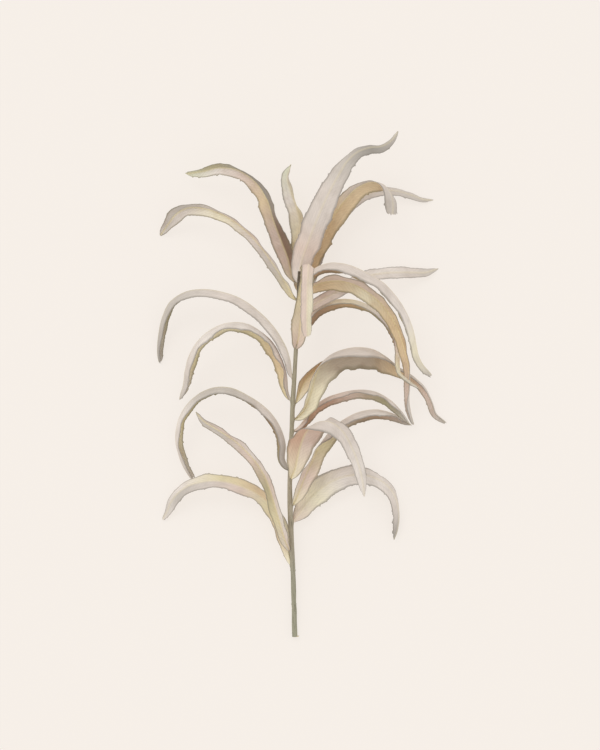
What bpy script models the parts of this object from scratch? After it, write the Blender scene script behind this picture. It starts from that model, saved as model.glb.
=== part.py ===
"""A cut stem of long dried eucalyptus leaves, lying on a flat surface.

Metres, +Z up. The stem lies along +Y, from its cut end to its tip, and rises a little towards the tip,
because the leaves under it hold it up. +X is the right side of the stem as seen from above.
The origin is on the surface, under the middle of the whole spray.

Each leaf is a thin blade, folded along its midrib, that leaves the stem at a narrow claw, widens at once
and tapers to a long tip. Its midrib follows a smooth route in space, or the middle of the blade as seen
from above does, where that is what a leaf is placed by.
"""

import math
from dataclasses import dataclass

import bmesh
import bpy
import numpy as np

MM = 0.001
UP = np.array((0.0, 0.0, 1.0))

# Sizes of the blades, in millimetres. The claw's gap is from the stem to the blade's middle surface.
BLADE_THICKNESS = 0.8
CLAW_GAP = 1.2
LOBE_REACH = 14.0

# How fast the blade widens from its claw, and narrows to its tip, in millimetres along it, and how long
# a stretch of it the claw holds in place.
CLAW_LENGTH = 9.0
TIP_LENGTH = 8.0
CLAW_WIDTH_SHARE = 0.18
HELD_BY_THE_CLAW = 20.0

# How finely the blades are made. Rows lie a little closer near the claw.
ROWS_ALONG = 19
COLUMNS_ACROSS = 4
CLOSER_AT_THE_CLAW = 1.15
FINE_STEPS = 400

# A leaf that rests on the surface bends beyond this share of its length.
FREE_TO_BEND = 0.4

# The stem's middle line and its diameter there, in millimetres: x, y, z, diameter.
STEM_ROUTE = (
    (-9.0, -316.0, 3.3, 6.4), (-9.6, -300.0, 4.8, 6.1), (-9.8, -281.0, 6.6, 6.1),
    (-10.2, -274.0, 7.2, 5.6), (-10.4, -262.0, 8.3, 6.1), (-11.4, -231.0, 11.0, 6.1),
    (-13.2, -194.0, 14.5, 6.3), (-14.8, -156.0, 18.0, 6.6), (-15.2, -119.0, 21.6, 5.4),
    (-14.2, -81.0, 25.0, 5.4), (-12.6, -50.0, 27.6, 5.6), (-11.4, -19.0, 30.4, 6.0),
    (-9.4, 12.0, 33.0, 5.2), (-7.6, 44.0, 35.8, 4.9), (-5.8, 81.0, 38.6, 4.6),
    (-4.4, 112.0, 41.0, 4.2), (-3.9, 130.0, 42.1, 3.8), (-3.5, 142.0, 42.8, 3.5),
)
STEM_SIDES = 10
STEM_ROWS = 46

# The middle of the whole spray in the frame of these routes, which is set over the origin.
SPRAY_MIDDLE = (-0.4, -0.5)

# Stubs of two side twigs, cut short: y along the stem, length along it, and how far each stands out.
STEM_STUBS = ((-313.2, 5.6, 3.2), (-281.0, 5.0, 1.3))


@dataclass(frozen=True)
class Leaf:
    """One leaf. Lengths are in millimetres and angles in degrees.

    route: points of the midrib from the claw to the tip, (x, y, z).
    centred: the route is the middle of the blade as seen from above, and the midrib lies beside it.
    widths: of both halves laid flat, at even steps along the leaf.
    lean: how far the hollow side turns up from facing the inside of the arch, at even steps.
    fold: how far each half is raised from flat, at even steps along the leaf.
    upper_share: the share of the width in the half that lies nearer to +Z.
    lobe: how far the base of the blade reaches back beside the claw.
    tip: the share of the width that is left at the very end.
    rests: the leaf bends down until it touches the surface that the spray lies on.
    """

    name: str
    route: tuple
    widths: tuple
    lean: tuple
    fold: tuple
    upper_share: float = 0.5
    lobe: float = 0.0
    tip: float = 0.07
    centred: bool = False
    rests: bool = False


LEAVES = (
    Leaf(
        "leaf_crown_front",
        route=((-4, 131, 36), (-3, 142, 35.5), (0, 156, 39), (7.5, 177.5, 47), (19, 207, 58),
               (31, 234, 67), (45, 260, 73), (57, 279, 76), (70, 290, 76), (84, 295, 74), (99, 297, 71),
               (111, 304, 68), (119, 315, 64)),
        widths=(28, 31, 32, 24, 18, 11), lean=(-85, -85, -80, -75, -60, -60),
        fold=(26, 14, 12, 22, 45, 45), lobe=5,
    ),
    Leaf(
        "leaf_crown_left",
        route=((-6, 123, 38), (-13, 139, 23), (-18, 159, 19), (-26, 180, 24), (-35, 204, 34),
               (-44, 232, 43), (-59, 254, 46), (-80, 268, 42), (-103, 271.5, 34), (-126, 267, 24),
               (-146, 265, 12)),
        widths=(10, 26, 26, 22, 19, 12), lean=(95, 85, 75, 60, 55, 50), fold=(40, 40, 35, 30),
    ),
    Leaf(
        "leaf_crown_back",
        route=((-4, 117, 36), (-1, 131, 19), (0, 150, 14.5), (-1, 172, 15), (-1.5, 197, 19),
               (-7.5, 222, 24), (-15, 243, 29), (-18.5, 258, 33), (-14, 275, 36)),
        widths=(16, 26, 25, 15), lean=(-50, -50, -50), fold=(35, 30),
    ),
    Leaf(
        "leaf_crown_hooked",
        route=((-1, 116, 38), (5, 132, 24), (12, 160, 20), (24, 186, 27), (39, 211, 37), (53, 230, 44),
               (69, 246, 49), (88, 253, 54), (102, 249, 56), (111, 237, 55), (113.5, 225, 51),
               (113, 212, 46)),
        widths=(8, 25, 31, 31, 27, 21), lean=(50, 62, 68, 70, 45, -60), fold=(35, 32, 28, 30), tip=0.7,
    ),
    Leaf(
        "leaf_crown_right",
        route=((-1, 107, 36), (8, 126, 20), (18, 156, 12), (32, 188, 13), (54, 218, 17), (80, 238, 20),
               (102, 244, 20), (120, 243, 17), (138, 238, 13), (152, 233, 9), (164, 232, 6)),
        widths=(12, 15, 15, 14, 13, 8), lean=(-40, -40, -50, -50), fold=(35, 30), rests=True,
    ),
    Leaf(
        "leaf_left_1",
        route=((-9, 106, 40), (-20, 123, 40), (-34, 143, 40), (-50, 166, 41), (-71.5, 190, 42),
               (-97, 208, 40), (-121, 217, 35), (-144, 218.5, 28), (-159, 211, 20), (-167, 202, 13),
               (-177.5, 188, 6)),
        widths=(18, 20, 20, 21, 23, 15), lean=(50, 55, 55, 55, 55),
        fold=(40, 40, 40, 30), centred=True, rests=True,
    ),
    Leaf(
        "leaf_left_2",
        route=((-12, 9, 33), (-17, 28, 35), (-27, 50, 37), (-41, 71, 40), (-58, 88, 43), (-79, 103, 45),
               (-101, 111, 44), (-122, 114.5, 41), (-144, 112, 35), (-161, 102, 28), (-170, 85, 20),
               (-175.5, 62, 12), (-177.5, 44, 7), (-178, 28, 4)),
        widths=(18, 23, 23, 21, 20, 17), lean=(-8, -12, -12, -10, -5),
        fold=(50, 50), centred=True, tip=0.35, rests=True,
    ),
    Leaf(
        "leaf_left_3",
        route=((-15, -19, 31), (-19, -7, 31), (-24.5, 11.5, 32), (-32, 31, 35), (-42, 49, 38),
               (-56, 62, 42), (-73, 71, 45), (-92, 71.5, 46), (-111, 64, 44), (-125, 52, 40),
               (-135, 36, 35), (-140.5, 18, 28), (-144.5, -1, 20), (-153, -18, 12)),
        widths=(18, 28, 28, 27, 27, 20), lean=(20, 25, 22, 12, 5), fold=(42, 45, 45), centred=True,
    ),
    Leaf(
        "leaf_left_4",
        route=((-19, -103, 24), (-23.5, -92, 25), (-25.5, -75, 26), (-31.5, -56, 28), (-42, -39, 31),
               (-56, -26, 34), (-72, -16, 37), (-88, -8.5, 39), (-104, -7, 39), (-120, -11.5, 37),
               (-135, -22, 33), (-146, -36, 28), (-152, -52, 22), (-154, -68, 17), (-151, -84, 12),
               (-147, -97, 8), (-141, -109, 5), (-136, -118, 3)),
        widths=(26, 23, 22, 22, 19, 16), lean=(8, 8, 8, 8),
        fold=(50, 50), tip=0.6, centred=True, lobe=4, rests=True,
    ),
    Leaf(
        "leaf_left_5",
        route=((-17, -209, 17), (-21, -195, 21), (-27, -174, 26), (-33, -154, 31), (-39, -134, 36),
               (-46, -115, 41), (-56, -98, 46), (-69, -83, 50), (-83, -70, 52), (-98, -60, 53),
               (-111, -52, 52), (-122, -45, 50), (-132, -34, 47)),
        widths=(13, 18, 17, 17, 14, 9), lean=(70, 75, 75, 70), fold=(40, 38, 30),
    ),
    Leaf(
        "leaf_left_6",
        route=((-16, -226, 11), (-17.5, -210, 11), (-21, -193, 12), (-27, -175, 15), (-35, -158, 19),
               (-46, -144, 24), (-60, -134, 29), (-77, -126.5, 33), (-93, -121.5, 35),
               (-110, -119.5, 35), (-127, -121.5, 33), (-142, -126, 28), (-156, -136, 22),
               (-165, -148, 15), (-169, -158, 9), (-175, -169, 4)),
        widths=(15, 21, 21, 20, 18, 13), lean=(-75, -75, -70, -60), fold=(32, 28), tip=0.25, rests=True,
    ),
    Leaf(
        "leaf_front_1",
        route=((-6, 49, 42), (-4, 60, 45), (-2, 78, 51), (2, 100, 60), (5, 124, 72), (7, 142, 85),
               (8, 150, 96), (8, 146, 105), (7, 128, 109), (6.5, 106, 107), (6, 84, 101), (6.5, 60, 92)),
        widths=(26, 24, 20, 17, 17, 15), lean=(90, 90, 90), fold=(32, 28), lobe=5, tip=0.65,
    ),
    Leaf(
        "leaf_front_2",
        route=((-13, -118, 28), (-9, -106, 31), (-5, -88, 38), (0, -70, 48), (7, -56, 62), (18, -47, 73),
               (32, -45, 78), (45, -52, 78), (55, -64, 74), (63, -80, 67), (70, -98, 59), (75, -118, 51),
               (78, -139, 43)),
        widths=(16, 33, 42, 24, 18, 11), lean=(90, 85, 40, -30, -50, -50), fold=(22, 18, 25, 30),
    ),
    Leaf(
        "leaf_right_1",
        route=((0, 88, 36), (12, 98, 35), (28, 108, 34), (46, 117, 32), (66, 129, 32), (85, 137, 31),
               (104, 140, 28), (122, 141, 23), (140, 141, 16), (155, 141, 10), (171, 146, 4)),
        widths=(13, 15, 15, 15, 14, 8), lean=(-85, -85, -85), fold=(15, 12), rests=True,
    ),
    Leaf(
        "leaf_right_2",
        route=((0, 124, 44), (8, 134, 50), (21, 142, 57), (39, 146, 64), (58, 143, 68), (78, 134, 69),
               (97, 123, 67), (112, 108, 63), (124.5, 90, 58), (133, 71, 53), (138, 51, 49),
               (141, 37, 45), (148, 23, 38), (161, 11, 30)),
        widths=(18, 30, 32, 28, 24, 18), lean=(20, 22, 18, 12, 10),
        fold=(45, 45, 40), tip=0.4, centred=True,
    ),
    Leaf(
        "leaf_right_3",
        route=((-1, 111, 41), (10, 121, 40), (26, 128, 40), (46, 130, 41), (65, 125.5, 41),
               (82, 116, 40), (97, 103.5, 38), (110, 87.5, 35), (120, 69, 32), (128, 46, 30),
               (133.5, 24, 29), (135, 2, 27), (134, -18, 21), (136.5, -36, 13), (140, -49, 9)),
        widths=(16, 25, 25, 20, 17, 16, 14), lean=(60, 62, 60, 30, 0), fold=(34, 32, 40), tip=0.4,
    ),
    Leaf(
        "leaf_right_4",
        route=((-2, 68, 38), (8, 79, 30), (20, 91, 22.5), (36, 99, 19.5), (54, 102, 19), (74, 99, 19),
               (92, 90, 19), (106, 76, 18), (115, 60, 16.5), (119, 42, 20), (119, 27, 33), (121, 14, 41),
               (131, 5, 42), (146, -5, 38)),
        widths=(19, 26, 22, 17, 14, 11), lean=(40, 20, 5, 0, -10, -20), fold=(45, 45, 40), centred=True,
    ),
    Leaf(
        "leaf_right_5",
        route=((-6, -24, 29), (-2, -8, 26), (6, 8, 23), (20, 20.5, 21), (39, 27.5, 20), (60, 28, 18),
               (80, 25, 14), (98, 20, 9)),
        widths=(13, 21, 20, 16, 14, 8), lean=(70, 70, 60), fold=(42, 40),
    ),
    Leaf(
        "leaf_right_6",
        route=((-7, -43, 30), (4, -33, 34), (15, -14, 39), (25, 7, 43), (39, 24, 44), (58, 32, 42),
               (78, 33, 37), (98, 27, 25), (117, 17, 15), (136, 7, 10), (151, -6, 8), (160, -23, 6),
               (166, -38, 5), (180, -48, 4)),
        widths=(16, 28, 46, 46, 22, 14, 12), lean=(65, 50, 12, 10, 5, 0),
        fold=(40, 45, 54, 50, 42), tip=0.35, centred=True,
        upper_share=0.42, rests=True,
    ),
    Leaf(
        "leaf_right_7",
        route=((-8, -58, 24), (2, -48, 22), (16, -33, 22), (34, -21, 24), (53, -15, 26), (72, -12, 27),
               (90, -14, 27), (106, -22, 25), (120, -34, 21), (134, -49, 17)),
        widths=(16, 22, 24, 24, 20, 13), lean=(20, 30, 28), fold=(47, 47), centred=True,
    ),
    Leaf(
        "leaf_right_8",
        route=((-11, -151, 21), (-4, -137, 26), (6, -117, 31), (18, -96, 35), (31, -74, 38),
               (43, -59, 38), (57, -48, 35), (74, -40, 30), (92, -37, 24), (110, -40, 18),
               (124, -45, 12), (137, -51, 7)),
        widths=(16, 26, 28, 29, 25, 14), lean=(70, 60, 20, 5, 5),
        fold=(38, 42, 50, 45), centred=True, rests=True,
    ),
    Leaf(
        "leaf_right_9",
        route=((-9, -172, 15), (-2, -160, 13), (10, -144, 12), (25, -130, 14), (43, -119, 17),
               (63, -114, 20), (82, -115, 21), (98, -122, 19), (110, -134, 15), (116, -149, 11),
               (118, -166, 7), (117, -181, 4), (115, -194, 2)),
        widths=(16, 32, 29, 21, 18, 15), lean=(-85, -80, -70, -50, -35),
        fold=(18, 18, 30, 35), centred=True,
        rests=True,
    ),
)


def curve_through(points, count):
    """Evenly spaced points on one smooth curve through the given ones. Works in any number of columns."""
    points = np.array(points, float)
    steps = np.linalg.norm(np.diff(points[:, :3], axis=0), axis=1)
    at = np.concatenate(([0.0], np.cumsum(steps)))
    slopes = np.gradient(points, at, axis=0)
    fine = np.linspace(0.0, at[-1], 40 * len(points))
    span = np.clip(np.searchsorted(at, fine, side="right") - 1, 0, len(steps) - 1)
    t = ((fine - at[span]) / steps[span])[:, None]
    width = steps[span][:, None]
    start, end = points[span], points[span + 1]
    curve = (
        (1 + 2 * t) * (1 - t) ** 2 * start
        + t * (1 - t) ** 2 * width * slopes[span]
        + t * t * (3 - 2 * t) * end
        + t * t * (t - 1) * width * slopes[span + 1]
    )
    walked = np.concatenate(([0.0], np.cumsum(np.linalg.norm(np.diff(curve[:, :3], axis=0), axis=1))))
    even = np.linspace(0.0, walked[-1], count)
    return np.stack([np.interp(even, walked, column) for column in curve.T], axis=1)


def spread_out(values, share):
    """A short list of values at even steps from 0 to 1, read as a smooth curve at the given shares."""
    values = np.array(values, float)
    step = 1 / (len(values) - 1)
    slopes = np.gradient(values, step)
    span = np.clip((share / step).astype(int), 0, len(values) - 2)
    t = share / step - span
    return (
        (1 + 2 * t) * (1 - t) ** 2 * values[span]
        + t * (1 - t) ** 2 * step * slopes[span]
        + t * t * (3 - 2 * t) * values[span + 1]
        + t * t * (t - 1) * step * slopes[span + 1]
    )


def unit(vectors):
    """The same directions, each one long."""
    return vectors / np.linalg.norm(vectors, axis=-1, keepdims=True)


def blade_frames(midrib, lean, side):
    """Along the midrib: its direction, the way the hollow side faces, and the way to the upper half."""
    ahead = unit(np.gradient(midrib, axis=0))
    inward = unit(np.cross(ahead[0], UP)) * side
    carried = []
    for direction in ahead:
        inward = unit(inward - (inward @ direction) * direction)
        carried.append(inward)
    carried = np.array(carried)
    raised = np.cross(carried, ahead) * side
    lean = np.radians(lean)[:, None]
    hollow = np.cos(lean) * carried + np.sin(lean) * raised
    return ahead, hollow, np.cross(hollow, ahead) * side


def blade_widths(leaf, share, length):
    """The blade's whole width at each share of its length: narrow at the claw and at the tip."""
    from_claw = 1 - (1 - CLAW_WIDTH_SHARE) * np.exp(-share * length / CLAW_LENGTH)
    from_tip = 1 - (1 - leaf.tip) * np.exp(-(1 - share) * length / TIP_LENGTH)
    return spread_out(leaf.widths, share) * from_claw * from_tip


def claw_on_stem(start):
    """The place beside the stem, on the same side as the given point, where a claw meets its surface."""
    x, y, z, diameter = np.array(STEM_ROUTE).T
    centre = np.array((np.interp(start[1], y, x), start[1], np.interp(start[1], y, z)))
    radius = np.interp(start[1], y, diameter) / 2
    return tuple(centre + unit(np.array(start) - centre) * (radius + CLAW_GAP))


def set_down(sheet, share):
    """Bends the outer part of a leaf down, more towards its tip, until its lowest point meets z = 0."""
    height = sheet[..., 2].min(axis=1) - BLADE_THICKNESS / 2
    outer = share > FREE_TO_BEND
    drop = np.min(height[outer] / share[outer] ** 2)
    sheet[..., 2] -= drop * (share**2)[:, None]


def centred(sheet, midrib, ahead, along):
    """Moves each row level, so that the route runs along the middle of the blade as seen from above."""
    sideways = unit(np.cross(ahead, UP))
    reach = ((sheet - midrib[:, None]) * sideways[:, None]).sum(axis=2)
    middle = (reach.max(axis=1) + reach.min(axis=1)) / 2
    free = 1 - np.exp(-((along / HELD_BY_THE_CLAW) ** 2))
    return sheet - (middle * free)[:, None, None] * sideways[:, None]


def blade_sheet(leaf):
    """The middle surface of a leaf, as rows of points across it, in millimetres."""
    share = np.linspace(0, 1, ROWS_ALONG) ** CLOSER_AT_THE_CLAW
    dense = curve_through((claw_on_stem(leaf.route[0]), *leaf.route[1:]), FINE_STEPS)
    length = np.linalg.norm(np.diff(dense, axis=0), axis=1).sum()
    midrib = np.stack([np.interp(share * (FINE_STEPS - 1), range(FINE_STEPS), c) for c in dense.T], axis=1)
    side = 1 if leaf.route[-1][0] >= leaf.route[0][0] else -1
    ahead, hollow, upper = blade_frames(midrib, spread_out(leaf.lean, share), side)
    fold = np.radians(spread_out(leaf.fold, share))
    width = blade_widths(leaf, share, length)
    back = leaf.lobe * np.exp(-share * length / LOBE_REACH)
    sheet = np.zeros((ROWS_ALONG, COLUMNS_ACROSS + 1, 3))
    for column in range(COLUMNS_ACROSS + 1):
        out = 2 * column / COLUMNS_ACROSS - 1
        half = width * (leaf.upper_share if out > 0 else 1 - leaf.upper_share)
        raised = (np.sin(fold) * half * abs(out))[:, None] * hollow
        level = (np.cos(fold) * half * out)[:, None] * upper
        sheet[:, column] = midrib + raised + level - (back * out * out)[:, None] * ahead
    if leaf.centred:
        sheet = centred(sheet, midrib, ahead, share * length)
    if leaf.rests:
        set_down(sheet, share)
    return sheet


def new_object(name, mesh, material, parent):
    """An object of that mesh and material, placed under the parent."""
    mesh.materials.append(material)
    obj = bpy.data.objects.new(name, mesh)
    bpy.context.scene.collection.objects.link(obj)
    obj.parent = parent
    return obj


def plain_material(name, colour, roughness):
    """A Principled material of one colour, matte and not metallic."""
    material = bpy.data.materials.new(name)
    material.use_nodes = True
    shader = material.node_tree.nodes["Principled BSDF"]
    shader.inputs["Base Color"].default_value = (*colour, 1.0)
    shader.inputs["Roughness"].default_value = roughness
    shader.inputs["Metallic"].default_value = 0.0
    return material


def make_leaf(leaf, material, parent):
    """A leaf: a grid laid over its sheet of points, thickened to both sides."""
    sheet = blade_sheet(leaf)
    shape = bmesh.new()
    rows = [[shape.verts.new(point * MM) for point in row] for row in sheet]
    for near, far in zip(rows, rows[1:]):
        for column in range(COLUMNS_ACROSS):
            shape.faces.new((near[column], near[column + 1], far[column + 1], far[column]))
    mesh = bpy.data.meshes.new(leaf.name)
    shape.to_mesh(mesh)
    shape.free()
    mesh.shade_smooth()
    obj = new_object(leaf.name, mesh, material, parent)
    thicken = obj.modifiers.new("thickness", "SOLIDIFY")
    thicken.thickness = BLADE_THICKNESS * MM
    thicken.offset = 0.0
    return obj


def make_stem(material, parent):
    """The stem: rings along its route, joined and capped, with two cut stubs pulled out on its right."""
    line = curve_through(STEM_ROUTE, STEM_ROWS)
    middle, radius = line[:, :3], line[:, 3] / 2
    ahead = unit(np.gradient(middle, axis=0))
    right = unit(np.cross(ahead, UP))
    over = np.cross(right, ahead)
    shape = bmesh.new()
    rings = []
    for row in range(STEM_ROWS):
        ring = []
        for corner in range(STEM_SIDES):
            turn = 2 * math.pi * corner / STEM_SIDES
            outward = math.cos(turn) * right[row] + math.sin(turn) * over[row]
            stands_out = 0.0
            for at, length, reach in STEM_STUBS:
                if abs(middle[row, 1] - at) < length / 2 and math.cos(turn) > 0.9:
                    stands_out = reach
            ring.append(shape.verts.new((middle[row] + outward * (radius[row] + stands_out)) * MM))
        rings.append(ring)
    for near, far in zip(rings, rings[1:]):
        for corner in range(STEM_SIDES):
            after = (corner + 1) % STEM_SIDES
            shape.faces.new((near[corner], near[after], far[after], far[corner]))
    shape.faces.new(rings[0])
    shape.faces.new(rings[-1])
    bmesh.ops.recalc_face_normals(shape, faces=shape.faces)
    mesh = bpy.data.meshes.new("stem")
    shape.to_mesh(mesh)
    shape.free()
    mesh.shade_smooth()
    return new_object("stem", mesh, material, parent)


def main():
    for obj in list(bpy.data.objects):
        bpy.data.objects.remove(obj)
    spray = bpy.data.objects.new("spray", None)
    bpy.context.scene.collection.objects.link(spray)
    spray.location = (-SPRAY_MIDDLE[0] * MM, -SPRAY_MIDDLE[1] * MM, 0.0)
    make_stem(plain_material("dried_stem", (0.30, 0.28, 0.20), 0.75), spray)
    blade = plain_material("dried_leaf", (0.66, 0.58, 0.46), 0.8)
    for leaf in LEAVES:
        make_leaf(leaf, blade, spray)


main()
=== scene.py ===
"""The looks of a cut stem of long dried eucalyptus leaves, lying on a pale ground and seen from above.

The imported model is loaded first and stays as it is. The stem and each leaf are then made again as finer
meshes along the same routes: blades with torn edges, raised midribs and wrinkles, and a stem with ridged
bark, leaf cushions and a cut end. Lengths in the tables are millimetres in the frame of the routes, whose
point SPRAY_MIDDLE stands over the origin.
"""

import logging
import math
from dataclasses import dataclass
from enum import Enum

import bpy
import numpy as np
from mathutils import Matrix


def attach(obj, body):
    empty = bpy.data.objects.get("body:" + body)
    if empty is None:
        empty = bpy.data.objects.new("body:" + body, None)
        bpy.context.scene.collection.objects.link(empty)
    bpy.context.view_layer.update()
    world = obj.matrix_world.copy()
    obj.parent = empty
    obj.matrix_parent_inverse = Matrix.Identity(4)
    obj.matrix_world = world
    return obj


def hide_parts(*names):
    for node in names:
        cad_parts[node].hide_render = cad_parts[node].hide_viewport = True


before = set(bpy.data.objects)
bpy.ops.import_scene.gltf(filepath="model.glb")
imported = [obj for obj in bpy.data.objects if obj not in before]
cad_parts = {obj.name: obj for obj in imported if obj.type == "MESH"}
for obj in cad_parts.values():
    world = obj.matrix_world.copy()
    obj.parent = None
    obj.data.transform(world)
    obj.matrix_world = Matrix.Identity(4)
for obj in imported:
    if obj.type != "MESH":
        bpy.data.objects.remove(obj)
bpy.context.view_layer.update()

LOG = logging.getLogger("spray")

# One millimetre in metres, and one unit of a UV map in millimetres.
MM = 0.001
UV_MM = 100.0

UP = np.array((0.0, 0.0, 1.0))
MULTIPLY_ADD = {"operation": "MULTIPLY_ADD"}
NOISE_INPUTS = ("Vector", "Scale", "Detail", "Roughness")
SPRAY_MIDDLE = np.array((-0.4, -0.5, 0.0))
BODY = "root"

# How finely a blade is made: the step between its rows in millimetres, and its cells across.
ROW_STEP = 0.9
CELLS_ACROSS = 16
FINE_STEPS = 600
RIB_CROWDING = 0.4

# The blade's own sizes in millimetres, and the share of its width at the claw.
BLADE_THICKNESS = 0.5
BLADE_CREASE_DEG = 55.0
TONE_BLEND = 0.12
CLAW_SUNK = 0.4
CLAW_LENGTH = 9.0
TIP_LENGTH = 8.0
CLAW_WIDTH_SHARE = 0.16
HELD_BY_THE_CLAW = 20.0
CLAW_ROLL_DEG = 72.0
CLAW_ROLL_LENGTH = 5.0
LOBE_REACH = 14.0
FREE_TO_BEND = 0.4

# A half is least raised at the midrib and most at its edge: this share of its fold there, and this much more.
OPEN_AT_RIB = 0.72
OPEN_MORE = 0.56

# The midrib stands out on the outer face, most at the claw.
RIB_HEIGHT = 0.35
RIB_HEIGHT_AT_CLAW = 0.9
RIB_HALF_WIDTH = 0.9
RIB_FADES_OVER = 12.0

# Waves: the swelling and the bending of the edge as shares of the width, wrinkles and saw teeth in
# millimetres, each with its shortest and longest wave. A wave runs at most MOST_TURN radians off the blade.
SWELL = 0.05
SWELL_LENGTH = (18, 45)
EDGE_WAVE = 0.055
EDGE_WAVE_LENGTH = (30, 62)
EDGE_WAVE_POWER = 1.6
WRINKLE = 0.22
WRINKLE_LENGTH = (9, 24)
SAW = 0.16
SAW_LENGTH = (2.4, 5.5)
MOST_TURN = 0.9

# Torn places of the edge in millimetres: barbs stand out, notches are cut in, and the tip is ragged.
BARB_SPACING = 30.0
BARB_REACH = (0.3, 1.5)
BARB_FRAY = (0.2, 1.2)
NOTCH_SPACING = 48.0
NOTCH_REACH = (0.2, 0.7)
FOOT_LENGTH = (2.0, 5.0)
STEEP_SIDE = 3.0
SPACING_SPREAD = (0.35, 1.7)
TORN_POWER = 7
TIP_RAG = 2.2
TIP_RAG_LENGTH = 9.0


class Tone(Enum):
    """The colours that the dried blades show, as hex values of sRGB."""

    PALE_GREY = "E8DFD7"
    GREY_PINK = "DCD1C8"
    GREY = "C8C0B7"
    DEEP_GREY = "A09A92"
    BLUSH = "E0CCBF"
    ROSE = "D8B59D"
    CREAM = "F0E7CC"
    STRAW = "E2D6B2"
    OLIVE = "BDB493"
    PALE_GREEN = "DEDFC4"
    OCHRE = "E3CCA9"
    DEEP_OCHRE = "D5B893"
    TAUPE = "C3B3A0"
    BROWN = "B99C83"
    DARK_BROWN = "8C7564"


def linear(code: str) -> tuple[float, float, float, float]:
    """Turns a hex colour into one for a shader.

    Args:
        code: six hex digits of sRGB.

    Returns:
        Linear red, green and blue, and full opacity.
    """
    parts = [int(code[start : start + 2], 16) / 255 for start in (0, 2, 4)]
    red, green, blue = (c / 12.92 if c <= 0.04045 else ((c + 0.055) / 1.055) ** 2.4 for c in parts)
    return red, green, blue, 1.0


def unit(vectors: np.ndarray) -> np.ndarray:
    """The same directions, each one long."""
    return vectors / np.linalg.norm(vectors, axis=-1, keepdims=True)


def read_columns(at: np.ndarray, knots: np.ndarray, rows: np.ndarray) -> np.ndarray:
    """Reads each column of a table between its rows.

    Args:
        at: where to read, in any shape.
        knots: where each row of the table stands.
        rows: the table.

    Returns:
        A row of values for each place.
    """
    return np.stack([np.interp(at, knots, column) for column in rows.T], axis=-1)


def cubic(
    knots: np.ndarray, slopes: np.ndarray, span: np.ndarray, t: np.ndarray, step: np.ndarray | float
) -> np.ndarray:
    """Reads the smooth pieces that join neighbouring knots.

    Args:
        knots, slopes: the values at the knots and how steeply they change there.
        span: the number of the knot before each place.
        t: how far each place is on the way to the next knot, from 0 to 1.
        step: the distance between these two knots.

    Returns:
        What the piece says at each place.
    """
    return (
        (1 + 2 * t) * (1 - t) ** 2 * knots[span]
        + t * (1 - t) ** 2 * step * slopes[span]
        + t * t * (3 - 2 * t) * knots[span + 1]
        + t * t * (t - 1) * step * slopes[span + 1]
    )


def curve_through(points: tuple, count: int) -> np.ndarray:
    """Lays one smooth curve through points, in any number of columns.

    Args:
        points: rows whose first three columns are x, y and z.
        count: how many rows the curve gets.

    Returns:
        Rows at even distances along the curve.
    """
    knots = np.array(points, float)
    steps = np.linalg.norm(np.diff(knots[:, :3], axis=0), axis=1)
    at = np.concatenate(([0.0], np.cumsum(steps)))
    slopes = np.gradient(knots, at, axis=0)
    fine = np.linspace(0.0, at[-1], 40 * len(knots))
    span = np.clip(np.searchsorted(at, fine, side="right") - 1, 0, len(steps) - 1)
    t = ((fine - at[span]) / steps[span])[:, None]
    curve = cubic(knots, slopes, span, t, steps[span][:, None])
    walked = np.concatenate(([0.0], np.cumsum(np.linalg.norm(np.diff(curve[:, :3], axis=0), axis=1))))
    return read_columns(np.linspace(0.0, walked[-1], count), walked, curve)


def spread_out(values: tuple[float, ...], share: np.ndarray) -> np.ndarray:
    """Reads a short list of values as a smooth curve.

    Args:
        values: values at even steps from 0 to 1.
        share: where to read them, from 0 to 1.

    Returns:
        One value for each share.
    """
    knots = np.array(values, float)
    step = 1 / (len(knots) - 1)
    span = np.clip((share / step).astype(int), 0, len(knots) - 2)
    return cubic(knots, np.gradient(knots, step), span, share / step - span, step)


def smooth_step(values: np.ndarray, low: float, high: float) -> np.ndarray:
    """0 below low and 1 above high, with a smooth rise between them."""
    t = np.clip((values - low) / (high - low), 0, 1)
    return t * t * (3 - 2 * t)


def ripples(
    rng: np.random.Generator,
    along: np.ndarray,
    across: np.ndarray,
    lengths: tuple[float, float],
    waves: int,
) -> np.ndarray:
    """Adds up waves of different lengths and directions.

    Args:
        rng: the source of the random draws.
        along: distance along the blade in millimetres.
        across: distance across it, of a shape that fits with along.
        lengths: the shortest and the longest wave in millimetres.
        waves: how many waves are added.

    Returns:
        A smooth irregular pattern, mostly between -1 and 1.
    """
    total = np.zeros(np.broadcast(along, across).shape)
    for _ in range(waves):
        length, turn, phase = rng.uniform(*lengths), rng.uniform(-MOST_TURN, MOST_TURN), rng.uniform(0, 1)
        walked = (along * math.cos(turn) + across * math.sin(turn)) / length
        total += np.sin(2 * math.pi * (walked + phase))
    return total / math.sqrt(waves)


def torn_points(
    rng: np.random.Generator, along: np.ndarray, spacing: float, reach: tuple[float, float]
) -> np.ndarray:
    """Draws points torn from an edge. Each rises slowly and ends steeply on the side of the tip.

    Args:
        rng: the source of the random draws.
        along: distance along the edge in millimetres.
        spacing: the mean distance between two points.
        reach: how far the smallest and the largest stand out.

    Returns:
        How far the edge stands out at each distance.
    """
    edge = np.zeros_like(along)
    at = rng.uniform(FOOT_LENGTH[1], spacing)
    while at < along[-1] - 4:
        size, foot = rng.uniform(*reach), rng.uniform(*FOOT_LENGTH)
        distance = (along - at) / foot
        height = np.where(distance < 0, 1 + distance, 1 - STEEP_SIDE * distance)
        edge = np.maximum(edge, size * np.clip(height, 0, 1))
        at += spacing * rng.uniform(*SPACING_SPREAD)
    return edge


def points_of(mesh: bpy.types.Mesh) -> np.ndarray:
    """The places of a mesh's points, one row each."""
    points = np.empty(len(mesh.vertices) * 3)
    mesh.vertices.foreach_get("co", points)
    return points.reshape(-1, 3)


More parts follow.
